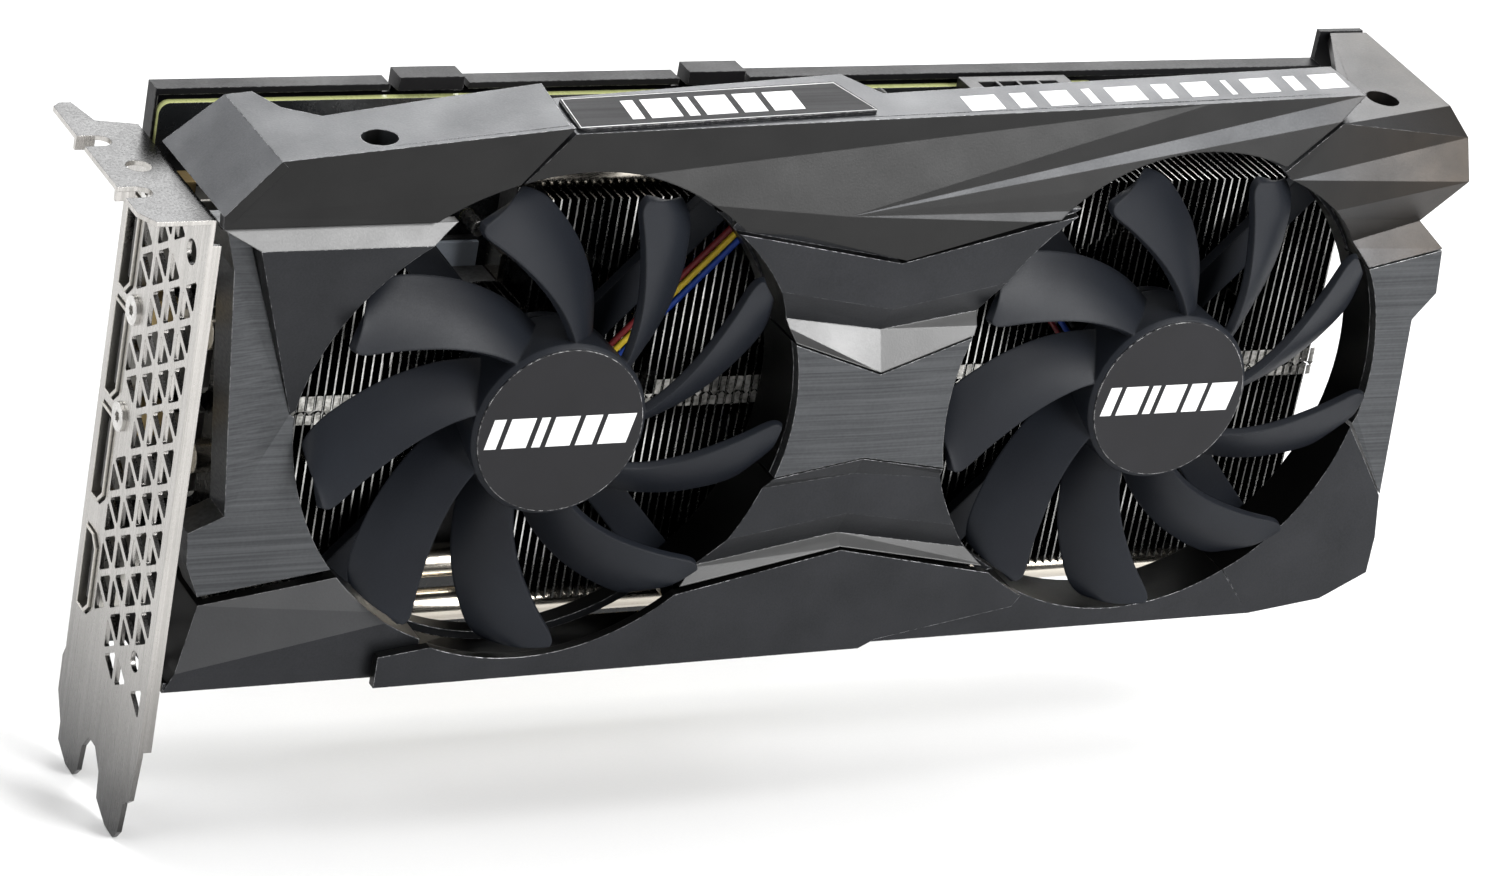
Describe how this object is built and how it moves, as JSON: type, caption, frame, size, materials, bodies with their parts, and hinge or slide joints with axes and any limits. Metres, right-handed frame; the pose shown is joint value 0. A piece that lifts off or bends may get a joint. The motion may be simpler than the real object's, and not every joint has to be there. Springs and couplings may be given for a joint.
{
  "type": "graphics card",
  "caption": "Two-slot graphics card with a slotted steel bracket, display sockets, finned cooler, faceted shroud, metal backplate and fans that spin freely.",
  "frame": {"origin": "key notch of the card-edge connector: middle of the notch, bottom of the contacts, mid-thickness of the circuit board", "axes": "+X from the bracket to the far end, +Y from the fans to the backplate, +Z from the edge contacts to the top of the card"},
  "size_m": [0.2545, 0.0525, 0.1366],
  "materials": {
    "board": "black solder mask on glass laminate",
    "gold": "gold plate",
    "chip_green": "laminate substrate",
    "silicon": "polished silicon",
    "black_chip": "moulded epoxy",
    "grey_ferrite": "pressed ferrite",
    "capacitor": "drawn aluminium can",
    "black_nylon": "moulded nylon",
    "white_nylon": "moulded nylon",
    "socket_steel": "stamped steel",
    "nickel_bracket": "nickel-plated sheet steel",
    "brass_post": "turned brass",
    "steel_screw": "bright steel",
    "black_screw": "blackened steel",
    "backplate": "satin black paint on aluminium",
    "spring_steel": "spring steel",
    "fin_aluminium": "sheet aluminium",
    "nickel_pipe": "nickel-plated copper",
    "cast_frame": "cast aluminium, dark finish",
    "thermal_pad": "soft silicone pad",
    "fan_plastic": "satin charcoal plastic",
    "magnet": "bonded ferrite",
    "hub_label": "printed film",
    "lamination": "stacked steel sheet",
    "copper_wire": "enamelled copper",
    "bearing_bronze": "sintered bronze",
    "red_wire": "soft insulation",
    "blue_wire": "soft insulation",
    "yellow_wire": "soft insulation",
    "black_wire": "soft insulation",
    "shroud_dark": "fine-grained dark grey plastic",
    "shroud_panel": "brushed-look grey plastic",
    "shroud_cover": "fine-grained grey plastic",
    "name_plate": "brushed-look dark film"
  },
  "bodies": {
    "card": {"circuit_board": "board", "edge_contacts": "gold", "chip_package": "chip_green", "chip_die": "silicon", "memory_chips": "black_chip", "chokes": "grey_ferrite", "power_stages": "black_chip", "capacitors": "capacitor", "power_socket": "black_nylon", "power_pins": "gold", "fan_headers": "white_nylon", "fan_plugs": "white_nylon", "display_sockets": "socket_steel", "hdmi_socket": "socket_steel", "socket_tongues": "black_nylon", "io_bracket": "nickel_bracket", "bracket_posts": "brass_post", "bracket_screws": "steel_screw", "backplate": "backplate", "backplate_screws": "black_screw", "retention_plate": "spring_steel", "spring_washers": "spring_steel", "chip_screws": "steel_screw", "lower_fins": "fin_aluminium", "upper_fins": "fin_aluminium", "fin_tabs": "fin_aluminium", "heat_pipes": "nickel_pipe", "lower_edge_pipe": "nickel_pipe", "upper_edge_pipe": "nickel_pipe", "cold_plate": "nickel_pipe", "base_frame": "cast_frame", "memory_pads": "thermal_pad", "fan_frame_left": "fan_plastic", "fan_frame_right": "fan_plastic", "motor_cores": "lamination", "motor_windings": "copper_wire", "sleeve_bearings": "bearing_bronze", "fan_screws": "black_screw", "red_wires": "red_wire", "blue_wires": "blue_wire", "yellow_wire": "yellow_wire", "black_wire": "black_wire", "shroud_body": "shroud_dark", "left_panel": "shroud_panel", "centre_panel": "shroud_panel", "right_panel": "shroud_panel", "top_left_cover": "shroud_cover", "top_right_cover": "shroud_cover", "name_plate": "name_plate", "end_cap": "shroud_cover", "lower_trim": "shroud_dark", "cover_screws": "black_screw"},
    "left_fan": {"fan_rotor_left": "fan_plastic", "magnet_ring_left": "magnet", "rotor_shaft_left": "steel_screw", "hub_label_left": "hub_label"},
    "right_fan": {"fan_rotor_right": "fan_plastic", "magnet_ring_right": "magnet", "rotor_shaft_right": "steel_screw", "hub_label_right": "hub_label"}
  },
  "joints": [
    {"name": "fan_left_spin", "type": "hinge", "parent": "card", "child": "left_fan", "pos_m": [0.0079, -0.034, 0.06645], "axis": [0, -1, 0], "continuous": true},
    {"name": "fan_right_spin", "type": "hinge", "parent": "card", "child": "right_fan", "pos_m": [0.1289, -0.034, 0.06645], "axis": [0, -1, 0], "continuous": true}
  ]
}
